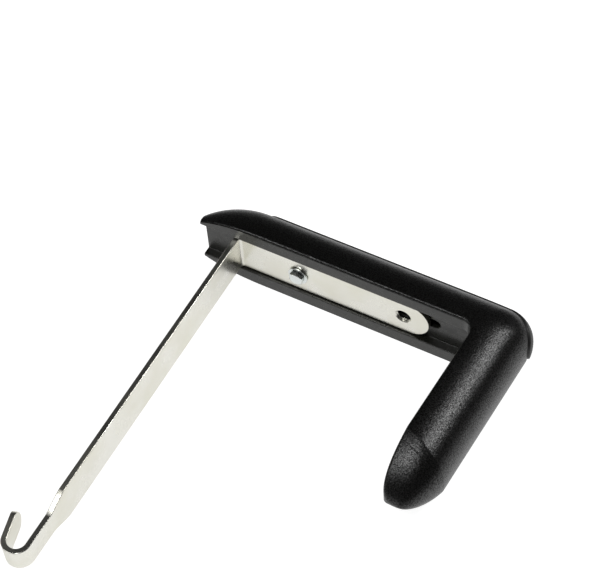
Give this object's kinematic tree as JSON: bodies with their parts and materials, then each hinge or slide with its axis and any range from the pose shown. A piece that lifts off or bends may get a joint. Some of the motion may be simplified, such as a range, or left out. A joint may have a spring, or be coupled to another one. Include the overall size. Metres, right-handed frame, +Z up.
{
  "type": "ladder stabilizer",
  "caption": "Ladder stabilizer bracket: black padded L-shaped channel arm with a sliding zinc-plated steel strap, a J hook and a clamp bolt",
  "frame": {"origin": "bottom centre of the bounding box, with the bracket lying flat as on a table", "axes": "+X along the long arm from its free end to the corner, +Y from the hook towards the long arm, +Z up, across the strap's width"},
  "size_m": [0.2032, 0.2558, 0.047],
  "materials": {
    "grained_moulding": "satin",
    "smooth_channel": "satin",
    "strip_rubber": "matte",
    "zinc_strap": "satin",
    "zinc_hardware": "satin"
  },
  "bodies": {
    "arm": {"cover_moulding": "grained_moulding", "core_channel": "smooth_channel", "back_strip": "strip_rubber"},
    "strap": {"strap_hook": "zinc_strap", "clamp_washer": "zinc_hardware"},
    "bolt": {"clamp_bolt": "zinc_hardware"},
    "nut": {"clamp_nut": "zinc_hardware"}
  },
  "joints": [
    {"name": "strap_slide", "type": "slide", "parent": "arm", "child": "strap", "axis": [1, 0, 0], "range_m": [-0.025, 0.02]},
    {"name": "bolt_turn", "type": "hinge", "parent": "strap", "child": "bolt", "pos_m": [-0.03906, 0.10154, 0.0235], "axis": [0, -1, 0], "range_deg": [0, 720]},
    {"name": "nut_travel", "type": "slide", "parent": "strap", "child": "nut", "axis": [0, 1, 0], "range_m": [0, 0.002]}
  ],
  "couplings": [
    {"joint": "bolt_turn", "follows": "nut_travel", "rad_per_m": 6283.2}
  ]
}
